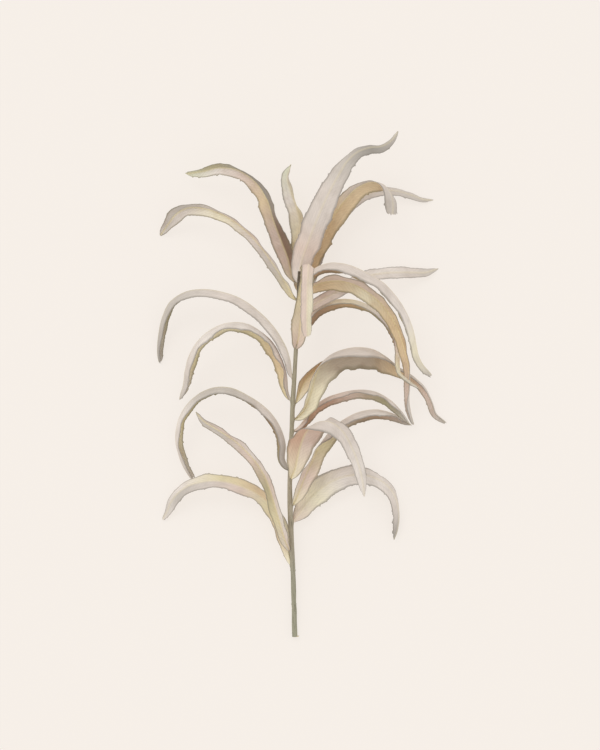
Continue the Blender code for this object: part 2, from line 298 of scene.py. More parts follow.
def corners_of(mesh: bpy.types.Mesh) -> np.ndarray:
    """The number of the point at each corner of a mesh's faces."""
    corners = np.empty(len(mesh.loops), int)
    mesh.loops.foreach_get("vertex_index", corners)
    return corners


def place_points(mesh: bpy.types.Mesh, places: np.ndarray) -> None:
    """Puts a mesh's points at places in the routes' frame, given in millimetres."""
    mesh.vertices.foreach_set("co", ((places - SPRAY_MIDDLE) * MM).ravel())


def store(mesh: bpy.types.Mesh, name: str, values: np.ndarray) -> None:
    """Stores a number, or a colour of four numbers, for each point of a mesh."""
    kind, field = ("FLOAT", "value") if values.ndim == 1 else ("FLOAT_COLOR", "color")
    mesh.attributes.new(name, kind, "POINT").data.foreach_set(field, values.ravel())


def lay_out(mesh: bpy.types.Mesh, name: str, places: np.ndarray) -> None:
    """Names a mesh's UV map and gives each face corner its place in millimetres."""
    layer = mesh.uv_layers.active
    layer.name = name
    layer.data.foreach_set("uv", (places / UV_MM).ravel())


def add_node(
    tree: bpy.types.NodeTree, kind: str, settings: dict | None = None, links: dict | tuple = ()
) -> bpy.types.Node:
    """Adds one node to a material.

    Args:
        tree: the material's node tree.
        kind: the node's type.
        settings: its own properties and their values.
        links: for each input, in order or by name, a socket to link from or a value to set.

    Returns:
        The new node.
    """
    node = tree.nodes.new(kind)
    for name, value in (settings or {}).items():
        setattr(node, name, value)
    for socket, value in links.items() if isinstance(links, dict) else enumerate(links):
        if isinstance(value, bpy.types.NodeSocket):
            tree.links.new(value, node.inputs[socket])
        else:
            node.inputs[socket].default_value = value
    return node


def new_material(name: str) -> tuple[bpy.types.Material, bpy.types.NodeTree]:
    """Makes a material and empties its node tree."""
    material = bpy.data.materials.new(name)
    material.use_nodes = True
    material.node_tree.nodes.clear()
    return material, material.node_tree


def stained(tree: bpy.types.NodeTree, colour: bpy.types.NodeSocket, stains: tuple) -> bpy.types.NodeSocket:
    """Lays colours over another one.

    Args:
        tree: the material's node tree.
        colour: the colour below.
        stains: for each, the mask where it lies, how strongly it shows, and its hex colour.

    Returns:
        The colour with all of them on it.
    """
    for mask, share, code in stains:
        amount = add_node(tree, "ShaderNodeMath", {"operation": "MULTIPLY"}, (mask, share)).outputs[0]
        inputs = {0: amount, 6: colour, 7: linear(code)}
        colour = add_node(tree, "ShaderNodeMix", {"data_type": "RGBA"}, inputs).outputs[2]
    return colour


def finished(
    material: bpy.types.Material,
    colour: bpy.types.NodeSocket,
    relief: bpy.types.NodeSocket,
    depth: tuple[float, float],
    surface: dict,
) -> bpy.types.Material:
    """Ends a material with its relief and its shader.

    Args:
        material: what holds the nodes.
        colour, relief: what the colour and the height come from.
        depth: how deep the relief is in millimetres, and how strongly it shows.
        surface: the other inputs of the shader.

    Returns:
        The same material.
    """
    tree = material.node_tree
    bump = add_node(
        tree, "ShaderNodeBump", links={"Distance": depth[0] * MM, "Strength": depth[1], "Height": relief}
    )
    inputs = {"Base Color": colour, "Normal": bump.outputs[0], **surface}
    shader = add_node(tree, "ShaderNodeBsdfPrincipled", links=inputs)
    add_node(tree, "ShaderNodeOutputMaterial", links=(shader.outputs[0],))
    return material


@dataclass(frozen=True)
class DriedBlade:
    """One face of a dried eucalyptus leaf: papery, matte, with long fibres, slanting veins and a pale rib.

    name: the material's name.
    tones: the colour attribute that holds this face's colours.
    rib, vein, rim, stain: hex colours of the midrib, the veins, the darker edge that paints shade along the
    rims, and the blotches.
    rib_share, stain_share, vein_share, rim_shade_share: how strongly each of them shows.
    fibre_mm: how wide and how long the fibres are, coarser than real ones so that they show.
    brightness, roughness: of the darkest and of the palest fibre.
    vein_mm, vein_slant, vein_stray: the space between veins, their slant, and how far blotches bend them.
    rib_mm: how far from the midrib its colour has gone, and how far out it is full.
    rim_shade_reach: where the painted shade along the edge begins and is full, as shares of the way out.
    """

    name: str
    tones: str
    rib: str
    vein: str
    rim_shade: str
    stain: str
    rib_share: float
    stain_share: float
    vein_share: float = 0.16
    rim_shade_share: float = 0.72
    fibre_mm: tuple[float, float] = (1.3, 26.0)
    brightness: tuple[float, float] = (0.9, 1.07)
    roughness: tuple[float, float] = (0.9, 0.74)
    vein_mm: float = 5.5
    vein_slant: float = 1.4
    vein_stray: float = 7.0
    rib_mm: tuple[float, float] = (2.0, 0.5)
    rim_shade_reach: tuple[float, float] = (0.78, 0.97)
    blotch_mm: float = 16.0
    grain_mm: float = 1.1

    def make(self) -> bpy.types.Material:
        """Builds the material.

        Returns:
            The material. The eye gets dull paper with a faint lengthwise grain, and edges darkened with
            painted shade.
        """
        material, tree = new_material(self.name)
        place = add_node(tree, "ShaderNodeUVMap", {"uv_map": "Blade"}).outputs["UV"]
        parts = add_node(tree, "ShaderNodeSeparateXYZ", links=(place,)).outputs
        from_rib = add_node(tree, "ShaderNodeMath", {"operation": "ABSOLUTE"}, (parts["X"],)).outputs[0]
        reach = add_node(tree, "ShaderNodeAttribute", {"attribute_name": "reach"}).outputs["Fac"]
        tone = add_node(tree, "ShaderNodeAttribute", {"attribute_name": self.tones}).outputs["Color"]
        solid = add_node(tree, "ShaderNodeTexCoord").outputs["Object"]
        per_fibre = (*(UV_MM / size for size in self.fibre_mm), 1.0)
        stretched = add_node(tree, "ShaderNodeMapping", links={0: place, 3: per_fibre}).outputs[0]
        fibres, blotches, grain = (
            add_node(tree, "ShaderNodeTexNoise", links=dict(zip(NOISE_INPUTS, values))).outputs[0]
            for values in (
                (stretched, 1.0, 5.0, 0.6),
                (place, UV_MM / self.blotch_mm, 4.0, 0.5),
                (solid, 1 / MM / self.grain_mm, 3.0, 0.5),
            )
        )
        turns = 2 * math.pi * UV_MM / self.vein_mm
        wave = 0.0
        slant = -self.vein_slant * turns
        for way, times in ((blotches, self.vein_stray), (from_rib, slant), (parts["Y"], turns)):
            wave = add_node(tree, "ShaderNodeMath", MULTIPLY_ADD, (way, times, wave)).outputs[0]
        crest = add_node(tree, "ShaderNodeMath", {"operation": "SINE"}, (wave,)).outputs[0]
        # The rim mask darkens the blade towards its edges: painted shade along the rims.
        veins, rib, rim_shade, stains, bright, rough = (
            add_node(tree, "ShaderNodeMapRange", links=links).outputs[0]
            for links in (
                (crest, 0.72, 1.0),
                (from_rib, *(size / UV_MM for size in self.rib_mm)),
                (reach, *self.rim_shade_reach),
                (blotches, 0.48, 0.75),
                (fibres, 0.3, 0.7, *self.brightness),
                (fibres, 0.3, 0.7, *self.roughness),
            )
        )
        colour = stained(
            tree,
            add_node(tree, "ShaderNodeHueSaturation", links={"Value": bright, "Color": tone}).outputs[0],
            (
                (stains, self.stain_share, self.stain),
                (veins, self.vein_share, self.vein),
                (rib, self.rib_share, self.rib),
                (rim_shade, self.rim_shade_share, self.rim_shade),
            ),
        )
        relief = fibres
        for height in (veins, grain):
            relief = add_node(tree, "ShaderNodeMath", MULTIPLY_ADD, (height, 0.5, relief)).outputs[0]
        surface = {"IOR": 1.45, "Specular IOR Level": 0.3, "Sheen Weight": 0.1, "Sheen Roughness": 0.5}
        return finished(material, colour, relief, (0.35, 0.55), {"Roughness": rough, **surface})


@dataclass(frozen=True)
class DriedBark:
    """Dried green-grey eucalyptus bark: matte, with lengthwise furrows and small pale pores.

    name: the material's name.
    furrow, pore: hex colours of the furrows and of the pores.
    streak_mm, pore_mm: how wide and how long the furrows are, and the space between pores.
    """

    name: str = "dried_bark"
    furrow: str = "5F5A48"
    pore: str = "C9C5AD"
    streak_mm: tuple[float, float] = (0.9, 18.0)
    pore_mm: float = 2.4

    def make(self) -> bpy.types.Material:
        """Builds the material.

        Returns:
            The material. The eye gets a dull twig with fine dark furrows along it.
        """
        material, tree = new_material(self.name)
        place = add_node(tree, "ShaderNodeUVMap", {"uv_map": "Bark"}).outputs["UV"]
        tone = add_node(tree, "ShaderNodeAttribute", {"attribute_name": "bark_tone"}).outputs["Color"]
        per_streak = (*(UV_MM / size for size in self.streak_mm), 1.0)
        stretched = add_node(tree, "ShaderNodeMapping", links={0: place, 3: per_streak}).outputs[0]
        inputs = dict(zip(NOISE_INPUTS, (stretched, 1.0, 6.0, 0.65)))
        streaks = add_node(tree, "ShaderNodeTexNoise", links=inputs).outputs[0]
        cells = add_node(
            tree, "ShaderNodeTexVoronoi", links={"Vector": place, "Scale": UV_MM / self.pore_mm}
        ).outputs["Distance"]
        furrows = add_node(tree, "ShaderNodeMapRange", links=(streaks, 0.5, 0.34)).outputs[0]
        pores = add_node(tree, "ShaderNodeMapRange", links=(cells, 0.2, 0.12)).outputs[0]
        colour = stained(tree, tone, ((furrows, 0.75, self.furrow), (pores, 0.5, self.pore)))
        relief = add_node(tree, "ShaderNodeMath", MULTIPLY_ADD, (pores, 0.3, streaks)).outputs[0]
        surface = {"Roughness": 0.82, "IOR": 1.5, "Specular IOR Level": 0.3}
        return finished(material, colour, relief, (0.5, 0.7), surface)


@dataclass(frozen=True)
class CutWood:
    """Sawn eucalyptus wood: dry, pale at its rim and darker at the pith.

    name: the material's name.
    pith, wood: hex colours of the middle and of the rest.
    pore_mm: the space between pores.
    """

    name: str = "cut_wood"
    pith: str = "8A7658"
    wood: str = "CDBD98"
    pore_mm: float = 0.35

    def make(self) -> bpy.types.Material:
        """Builds the material.

        Returns:
            The material. The eye gets a dry cut with fine pores.
        """
        material, tree = new_material(self.name)
        core = add_node(tree, "ShaderNodeAttribute", {"attribute_name": "from_core"}).outputs["Fac"]
        solid = add_node(tree, "ShaderNodeTexCoord").outputs["Object"]
        inputs = dict(zip(NOISE_INPUTS, (solid, 1 / MM / self.pore_mm, 3.0, 0.5)))
        pores = add_node(tree, "ShaderNodeTexNoise", links=inputs).outputs[0]
        rings = add_node(tree, "ShaderNodeMath", MULTIPLY_ADD, (pores, 0.25, core)).outputs[0]
        share = add_node(tree, "ShaderNodeMapRange", links=(rings, 0.25, 0.6)).outputs[0]
        inputs = {0: share, 6: linear(self.pith), 7: linear(self.wood)}
        colour = add_node(tree, "ShaderNodeMix", {"data_type": "RGBA"}, inputs).outputs[2]
        surface = {"Roughness": 0.85, "IOR": 1.5, "Specular IOR Level": 0.25}
        return finished(material, colour, pores, (0.2, 0.5), surface)


@dataclass(frozen=True)
class Stub:
    """The cut stub of a side twig: y along the stem, its length along it, and how far it stands out."""

    along: float
    length: float
    reach: float


@dataclass(frozen=True)
class Stem:
    """The woody stem, from its cut end to its dark tip.

    route: x, y, z and the diameter along its middle line.
    stubs: the stubs of side twigs on its right.
    rings: y of the scars that ring it.
    tones: y and hex colour of the bark along it.
    ring_size, cushion_size: height and half length of a scar, and of the swelling where a leaf grows out.
    sides, cuts: faces round the cylinder, and how often its length is cut, twice over.
    end_insets: width and depth, in radii, of the border of bark, the step, the wood and the pith.
    end_relief: millimetres for one length of depth at the ends.
    bark_radius: the radius that the bark's UV map is laid out for.
    stub_facing, stub_steps, stub_taper: which faces make a stub, its two steps, and its width at its end.
    """

    route: tuple[tuple[float, float, float, float], ...] = (
        (-9.0, -316.0, 3.3, 6.4), (-9.6, -300.0, 4.8, 6.1), (-9.8, -281.0, 6.6, 6.1),
        (-10.2, -274.0, 7.2, 5.6), (-10.4, -262.0, 8.3, 6.1), (-11.4, -231.0, 11.0, 6.1),
        (-13.2, -194.0, 14.5, 6.3), (-14.8, -156.0, 18.0, 6.6), (-15.2, -119.0, 21.6, 5.4),
        (-14.2, -81.0, 25.0, 5.4), (-12.6, -50.0, 27.6, 5.6), (-11.4, -19.0, 30.4, 6.0),
        (-9.4, 12.0, 33.0, 5.2), (-7.6, 44.0, 35.8, 4.9), (-5.8, 81.0, 38.6, 4.6),
        (-4.4, 112.0, 41.0, 4.2), (-3.9, 130.0, 42.1, 3.8), (-3.5, 142.0, 42.8, 3.5),
    )
    stubs: tuple[Stub, ...] = (Stub(-313.2, 5.0, 2.6), Stub(-281.0, 4.2, 0.9))
    rings: tuple[float, ...] = (-274.6, -232.5)
    tones: tuple[tuple[float, str], ...] = (
        (-316.0, "A09D88"), (-240.0, "9E9A86"), (-200.0, "A89E8A"), (-120.0, "AFA48F"), (-60.0, "B0A891"),
        (60.0, "A79F8A"), (95.0, "8E8472"), (112.0, "6B6051"), (142.0, "5C5145"),
    )
    ring_size: tuple[float, float] = (0.42, 0.9)
    cushion_size: tuple[float, float] = (0.9, 2.8)
    sides: int = 28
    cuts: int = 19
    end_insets: tuple[tuple[float, float], ...] = ((0.16, 0.0), (0.03, -0.004), (0.45, 0.0), (0.2, 0.002))
    end_relief: float = 100.0
    bark_radius: float = 3.0
    stub_facing: float = 0.86
    stub_steps: tuple[float, float] = (0.55, 0.45)
    stub_taper: float = 0.82

    def middle(self, y: float) -> tuple[np.ndarray, float]:
        """The middle point and the radius of the stem at this y."""
        x, knots, z, diameter = np.array(self.route).T
        centre = np.array((np.interp(y, knots, x), y, np.interp(y, knots, z)))
        return centre, float(np.interp(y, knots, diameter)) / 2

    def claw(self, start: tuple[float, float, float]) -> tuple[float, float, float]:
        """Finds where a leaf grows out.

        Args:
            start: the first point of the leaf's route, beside the stem.

        Returns:
            A point just inside the bark on that side.
        """
        centre, radius = self.middle(start[1])
        return tuple(centre + unit(np.array(start) - centre) * (radius - CLAW_SUNK))

    def girth(self, y: np.ndarray, turn: np.ndarray, claws: list[tuple[float, float]]) -> np.ndarray:
        """Works out how far the bark stands out from the plain round stem.

        Args:
            y: place along the stem.
            turn: angle round it, from its right side upwards.
            claws: y and angle of each leaf that grows out of it.

        Returns:
            Millimetres to add to the radius.
        """
        ridges = 0.1 * np.sin(6 * turn + 0.035 * y)
        ridges += 0.07 * np.sin(11 * turn - 0.05 * y + np.sin(0.11 * y))
        lumps = 0.1 * np.sin(0.19 * y + 2 * turn) * np.sin(0.047 * y)
        height, length = self.ring_size
        rings = sum(height * np.exp(-(((y - at) / length) ** 2)) for at in self.rings)
        height, length = self.cushion_size
        cushions = sum(
            height * np.exp(-(((y - at) / length) ** 2)) * np.clip(np.cos(turn - toward), 0, 1)
            for at, toward in claws
        )
        return ridges + lumps + rings + cushions

    def subdivide_along(self, stem: bpy.types.Object) -> None:
        """Cuts every edge that runs along the cylinder into equal parts."""
        bpy.ops.mesh.select_mode(type="EDGE")
        bpy.ops.mesh.select_all(action="DESELECT")
        bpy.ops.object.mode_set(mode="OBJECT")
        mesh = stem.data
        for edge in mesh.edges:
            low, high = (mesh.vertices[index].co for index in edge.vertices)
            edge.select = abs(low.z - high.z) > 1e-6
        bpy.ops.object.mode_set(mode="EDIT")
        bpy.ops.mesh.subdivide(number_cuts=self.cuts)

    def inset_ends(self, stem: bpy.types.Object) -> None:
        """Gives both end faces a border of bark, a face of wood sunk a little below it, and a pith."""
        bpy.ops.mesh.select_mode(type="FACE")
        bpy.ops.mesh.select_all(action="DESELECT")
        bpy.ops.object.mode_set(mode="OBJECT")
        for face in stem.data.polygons:
            face.select = len(face.vertices) > 4
            face.material_index = int(face.select)
        bpy.ops.object.mode_set(mode="EDIT")
        for thickness, depth in self.end_insets:
            bpy.ops.mesh.inset(thickness=thickness, depth=depth, use_individual=True)
        bpy.ops.object.mode_set(mode="OBJECT")

    def lay(self, stem: bpy.types.Object, claws: list[tuple[float, float]]) -> None:
        """Lays the straight unit cylinder along the route and colours it.

        Args:
            stem: the cylinder, its axis along z from -1 to 1.
            claws: y and angle of each leaf that grows out of it.
        """
        mesh = stem.data
        points = points_of(mesh)
        share = (points[:, 2] + 1) / 2
        turn = np.arctan2(points[:, 1], points[:, 0])
        from_core = np.hypot(points[:, 0], points[:, 1])
        line = curve_through(self.route, FINE_STEPS)
        ahead = unit(np.gradient(line[:, :3], axis=0))
        right = unit(np.cross(ahead, UP))
        steps, knots = np.clip(share, 0, 1) * (FINE_STEPS - 1), np.arange(FINE_STEPS)
        line, ahead, right, over = (
            read_columns(steps, knots, rows) for rows in (line, ahead, right, np.cross(right, ahead))
        )
        y = line[:, 1]
        radius = line[:, 3] / 2 + self.girth(y, turn, claws)
        beyond = (share - np.clip(share, 0, 1)) * self.end_relief
        outward = np.cos(turn)[:, None] * right + np.sin(turn)[:, None] * over
        place_points(mesh, line[:, :3] + outward * (radius * from_core)[:, None] + ahead * beyond[:, None])

        codes = np.array([linear(code) for _, code in self.tones])
        store(mesh, "bark_tone", read_columns(y, [place for place, _ in self.tones], codes))
        store(mesh, "from_core", from_core)

        corner = corners_of(mesh)
        angle = turn[corner]
        face_of = np.repeat(np.arange(len(mesh.polygons)), [len(face.vertices) for face in mesh.polygons])
        widest = np.full(len(mesh.polygons), -math.inf)
        np.maximum.at(widest, face_of, angle)
        angle = np.where(widest[face_of] - angle > math.pi, angle + 2 * math.pi, angle)
        lay_out(mesh, "Bark", np.stack((angle * self.bark_radius, y[corner]), axis=1))

    def pull_stubs(self, stem: bpy.types.Object) -> None:
        """Draws the two cut stubs of side twigs out of the right side of the stem."""
        for stub in self.stubs:
            centre, radius = self.middle(stub.along)
            middle = (centre - SPRAY_MIDDLE) * MM
            bpy.ops.object.mode_set(mode="EDIT")
            bpy.ops.mesh.select_all(action="DESELECT")
            bpy.ops.object.mode_set(mode="OBJECT")
            for face in stem.data.polygons:
                beside = abs(face.center.y - middle[1]) < stub.length / 2 * MM
                face.select = bool(beside and face.normal.x > self.stub_facing)
            bpy.ops.object.mode_set(mode="EDIT")
            for part in self.stub_steps:
                bpy.ops.mesh.extrude_region_move(
                    TRANSFORM_OT_translate={"value": (stub.reach * part * MM, 0.0, 0.0)}
                )
            bpy.ops.transform.resize(
                value=(1.0, self.stub_taper, self.stub_taper),
                center_override=(middle[0] + (radius + stub.reach) * MM, middle[1], middle[2]),
            )
            bpy.ops.mesh.inset(thickness=0.35 * MM, depth=-0.15 * MM)
        bpy.ops.object.mode_set(mode="OBJECT")

    def build(
        self, claws: list[tuple[float, float]], finishes: tuple[bpy.types.Material, ...]
    ) -> bpy.types.Object:
        """Makes the stem.

        Args:
            claws: y and angle of each leaf that grows out of it.
            finishes: bark and cut wood.

        Returns:
            The finished piece.
        """
        bpy.ops.mesh.primitive_cylinder_add(vertices=self.sides, radius=1.0, depth=2.0, calc_uvs=True)
        stem = bpy.context.object
        stem.name = "woody_stem"
        for finish in finishes:
            stem.data.materials.append(finish)
        bpy.ops.object.mode_set(mode="EDIT")
        self.subdivide_along(stem)
        self.subdivide_along(stem)
        self.inset_ends(stem)
        self.lay(stem, claws)
        self.pull_stubs(stem)
        bpy.ops.object.shade_smooth_by_angle(angle=math.radians(50))
        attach(stem, BODY)
        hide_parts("stem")
        LOG.info("woody_stem: %d faces", len(stem.data.polygons))
        return stem


@dataclass(frozen=True)
class Leaf:
    """One long dried leaf. Angles are in degrees, and every list but the route is at even steps along it.

    node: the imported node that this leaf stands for.
    route: points of the midrib from the claw to the tip.
    centred: the route is the middle of the blade as seen from above, and the midrib lies beside it.
    widths: of both halves laid flat.
    lean: how far the hollow face turns up from facing the inside of the arch.
    fold: how far each half is raised from flat.
    outer, inner: colours of the outer and the hollow face, on the half nearer to +Z.
    outer_low, inner_low: the same on the other half, where it differs.
    upper_share: the share of the width in the half nearer to +Z.
    lobe: how far the base reaches back beside the claw.
    tip: the share of the width that is left at the very end.
    rests: the leaf bends down until it touches the ground.
    fray: how torn the edges are, from 0 to about 2.
    """

    node: str
    route: tuple[tuple[float, float, float], ...]
    widths: tuple[float, ...]
    lean: tuple[float, ...]
    fold: tuple[float, ...]
    outer: tuple[Tone, ...]
    inner: tuple[Tone, ...]
    outer_low: tuple[Tone, ...] = ()
    inner_low: tuple[Tone, ...] = ()
    upper_share: float = 0.5
    lobe: float = 0.0
    tip: float = 0.07
    centred: bool = False
    rests: bool = False
    fray: float = 1.0

    @property
    def side(self) -> int:
        """1 for a leaf that grows to the right, and -1 for one that grows to the left."""
        return 1 if self.route[-1][0] >= self.route[0][0] else -1

    def frames(self, midrib: np.ndarray, lean: np.ndarray) -> tuple[np.ndarray, np.ndarray, np.ndarray]:
        """Carries the blade's directions along the midrib.

        Args:
            midrib: its points.
            lean: how far the hollow face turns up, in degrees.

        Returns:
            At each point the way ahead, the way the hollow face looks, and the way to the upper half.
        """
        ahead = unit(np.gradient(midrib, axis=0))
        inward = unit(np.cross(ahead[0], UP)) * self.side
        carried = []
        for direction in ahead:
            inward = unit(inward - (inward @ direction) * direction)
            carried.append(inward)
        level = np.array(carried)
        raised = np.cross(level, ahead) * self.side
        turn = np.radians(lean)[:, None]
        hollow = np.cos(turn) * level + np.sin(turn) * raised
        return ahead, hollow, np.cross(hollow, ahead) * self.side

    def whole_width(self, share: np.ndarray, length: float) -> np.ndarray:
        """The width of the blade at each share of its length: narrow at the claw and at the tip."""
        from_claw = 1 - (1 - CLAW_WIDTH_SHARE) * np.exp(-share * length / CLAW_LENGTH)
        from_tip = 1 - (1 - self.tip) * np.exp(-(1 - share) * length / TIP_LENGTH)
        return spread_out(self.widths, share) * from_claw * from_tip

    def off_route(
        self, width: np.ndarray, fold: np.ndarray, ahead: np.ndarray, hollow: np.ndarray, upper: np.ndarray
    ) -> np.ndarray:
        """Measures how far the middle of the blade, seen from above, lies from its midrib.

        Args:
            width, fold: the blade's width and the angle of its halves at each row.
            ahead, hollow, upper: what frames() returned.

        Returns:
            A level vector for each row.
        """
        sideways = unit(np.cross(ahead, UP))
        raised = np.sin(fold) * (hollow * sideways).sum(axis=1)
        level = np.cos(fold) * (upper * sideways).sum(axis=1)
        edges = (self.upper_share * (raised + level), (1 - self.upper_share) * (raised - level), 0 * level)
        return ((np.max(edges, axis=0) + np.min(edges, axis=0)) / 2 * width)[:, None] * sideways

    def sheet(self, stem: Stem, rng: np.random.Generator) -> dict[str, np.ndarray]:
        """Works out the blade's middle surface, row by row from the claw.

        Args:
            stem: what the leaf grows out of.
            rng: the source of the random draws.

        Returns:
            points, and for each point its share along, out from -1 to 1 and its place in millimetres.
        """
        dense = curve_through((stem.claw(self.route[0]), *self.route[1:]), FINE_STEPS)
        length = float(np.linalg.norm(np.diff(dense, axis=0), axis=1).sum())
        rows = round(length / ROW_STEP)
        share = np.linspace(0, 1, rows + 1)
        along = share * length
        midrib = read_columns(share * (FINE_STEPS - 1), np.arange(FINE_STEPS), dense)
        ahead, hollow, upper = self.frames(midrib, spread_out(self.lean, share))
        roll = np.exp(-along / CLAW_ROLL_LENGTH)
        fold = np.radians(spread_out(self.fold, share) * (1 - roll) + CLAW_ROLL_DEG * roll)[:, None]
        width = self.whole_width(share, length)

        even = np.linspace(-1, 1, CELLS_ACROSS + 1)
        out = (even * (1 - RIB_CROWDING + RIB_CROWDING * abs(even)))[None, :]
        reach = abs(out)
        wanted = width[:, None] * np.where(out > 0, self.upper_share, 1 - self.upper_share)
        flat = np.zeros(1)
        half = np.zeros_like(wanted)
        edge = np.zeros_like(wanted)
        wave = np.zeros_like(wanted)
        fade = smooth_step(along, 3, 22) * (1 - smooth_step(along, length - 4, length))
        for is_half in (out[0] > 0, out[0] < 0):
            swell = 1 + SWELL * ripples(rng, along, flat, SWELL_LENGTH, 4)
            torn = SAW * ripples(rng, along, flat, SAW_LENGTH, 5)
            barbs = torn_points(rng, along, BARB_SPACING / max(self.fray, BARB_FRAY[0]), BARB_REACH)
            torn += barbs * min(self.fray, BARB_FRAY[1])
            torn -= torn_points(rng, along, NOTCH_SPACING, NOTCH_REACH) * self.fray
            bend = ripples(rng, along, flat, EDGE_WAVE_LENGTH, 3) * width * EDGE_WAVE
            half[:, is_half] = (wanted[:, is_half].T * swell).T
            edge[:, is_half] = (torn * fade)[:, None]
            wave[:, is_half] = (bend * fade)[:, None]
        bend_from, bend_more = OPEN_AT_RIB * fold, OPEN_MORE * fold
        opened = bend_from + bend_more * reach
        torn_out = edge * reach**TORN_POWER
        raised = (np.cos(bend_from) - np.cos(opened)) / bend_more * half + np.sin(opened) * torn_out
        level = (np.sin(opened) - np.sin(bend_from)) / bend_more * half + np.cos(opened) * torn_out
        across = half * reach * np.sign(out)
        lift = wave * reach**EDGE_WAVE_POWER
        wrinkles = ripples(rng, along[:, None], across, WRINKLE_LENGTH, 9)
        lift += WRINKLE * wrinkles * (0.3 + 0.7 * reach) * fade[:, None]
        rib = RIB_HEIGHT + (RIB_HEIGHT_AT_CLAW - RIB_HEIGHT) * np.exp(-along / RIB_FADES_OVER)
        lift -= rib[:, None] * np.exp(-((across / RIB_HALF_WIDTH) ** 2))
        raised += np.cos(opened) * lift
        level -= np.sin(opened) * lift

        at_tip = smooth_step(along, length - TIP_RAG_LENGTH, length)[:, None]
        rag = at_tip * rng.uniform(-1, 0.4, CELLS_ACROSS + 1) * TIP_RAG
        back = (self.lobe * np.exp(-along / LOBE_REACH))[:, None] * out**2
        points = (
            midrib[:, None]
            + raised[..., None] * hollow[:, None]
            + (level * np.sign(out))[..., None] * upper[:, None]
            + (rag - back)[..., None] * ahead[:, None]
        )
        if self.centred:
            middle = self.off_route(width, np.radians(spread_out(self.fold, share)), ahead, hollow, upper)
            points -= (middle * (1 - np.exp(-((along / HELD_BY_THE_CLAW) ** 2)))[:, None])[:, None]
        if self.rests:
            height = points[..., 2].min(axis=1) - 0.6 * BLADE_THICKNESS
            outer_part = share > FREE_TO_BEND
            points[..., 2] -= np.min(height[outer_part] / share[outer_part] ** 2) * (share**2)[:, None]
        shape = points.shape[:2]
        return {
            "points": points,
            "share": np.broadcast_to(share[:, None], shape),
            "out": np.broadcast_to(out, shape),
            "across": across,
            "along": np.broadcast_to(along[:, None], shape),
        }

    def painted(
        self, upper: tuple[Tone, ...], lower: tuple[Tone, ...], sheet: dict[str, np.ndarray]
    ) -> np.ndarray:
        """Spreads the tones of one face over the blade.

        Args:
            upper: tones along the upper half.
            lower: tones along the lower half, or none where they are the same.
            sheet: what sheet() returned.

        Returns:
            A linear colour for each point.
        """
        halves = []
        for tones in (upper, lower or upper):
            codes = np.array([linear(tone.value) for tone in tones])
            halves.append(read_columns(sheet["share"], np.linspace(0, 1, len(codes)), codes))
        blend = smooth_step(sheet["out"], -TONE_BLEND, TONE_BLEND)[..., None]
        return halves[0] * blend + halves[1] * (1 - blend)

    def build(
        self, stem: Stem, rng: np.random.Generator, finishes: tuple[bpy.types.Material, ...]
    ) -> bpy.types.Object:
        """Makes the leaf from a flat grid.

        Args:
            stem: what the leaf grows out of.
            rng: the source of the random draws.
            finishes: the outer and the inner face.

        Returns:
            The finished piece.
        """
        sheet = self.sheet(stem, rng)
        rows = len(sheet["points"]) - 1
        bpy.ops.mesh.primitive_grid_add(x_subdivisions=CELLS_ACROSS, y_subdivisions=rows, size=2.0)
        blade = bpy.context.object
        blade.name = self.node.replace("leaf", "blade")
        mesh = blade.data
        flat = points_of(mesh)
        column = np.rint((self.side * flat[:, 0] + 1) / 2 * CELLS_ACROSS).astype(int)
        row = np.rint((flat[:, 1] + 1) / 2 * rows).astype(int)
        place_points(mesh, sheet["points"][row, column])
        store(mesh, "outer_tone", self.painted(self.outer, self.outer_low, sheet)[row, column])
        store(mesh, "inner_tone", self.painted(self.inner, self.inner_low, sheet)[row, column])
        store(mesh, "reach", abs(sheet["out"])[row, column])
        place = np.stack((sheet["across"], sheet["along"]), axis=-1)[row, column]
        lay_out(mesh, "Blade", place[corners_of(mesh)])
        for finish in finishes:
            mesh.materials.append(finish)
        thicken = blade.modifiers.new("thickness", "SOLIDIFY")
        thicken.thickness = BLADE_THICKNESS * MM
        thicken.offset = 0.0
        thicken.material_offset = 1
        bpy.ops.object.modifier_apply(modifier=thicken.name)
        bpy.ops.object.shade_smooth_by_angle(angle=math.radians(BLADE_CREASE_DEG))
        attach(blade, BODY)
        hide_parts(self.node)
        LOG.info("%s: %.0f mm long, %d faces", blade.name, sheet["along"][-1, 0], len(mesh.polygons))
        return blade


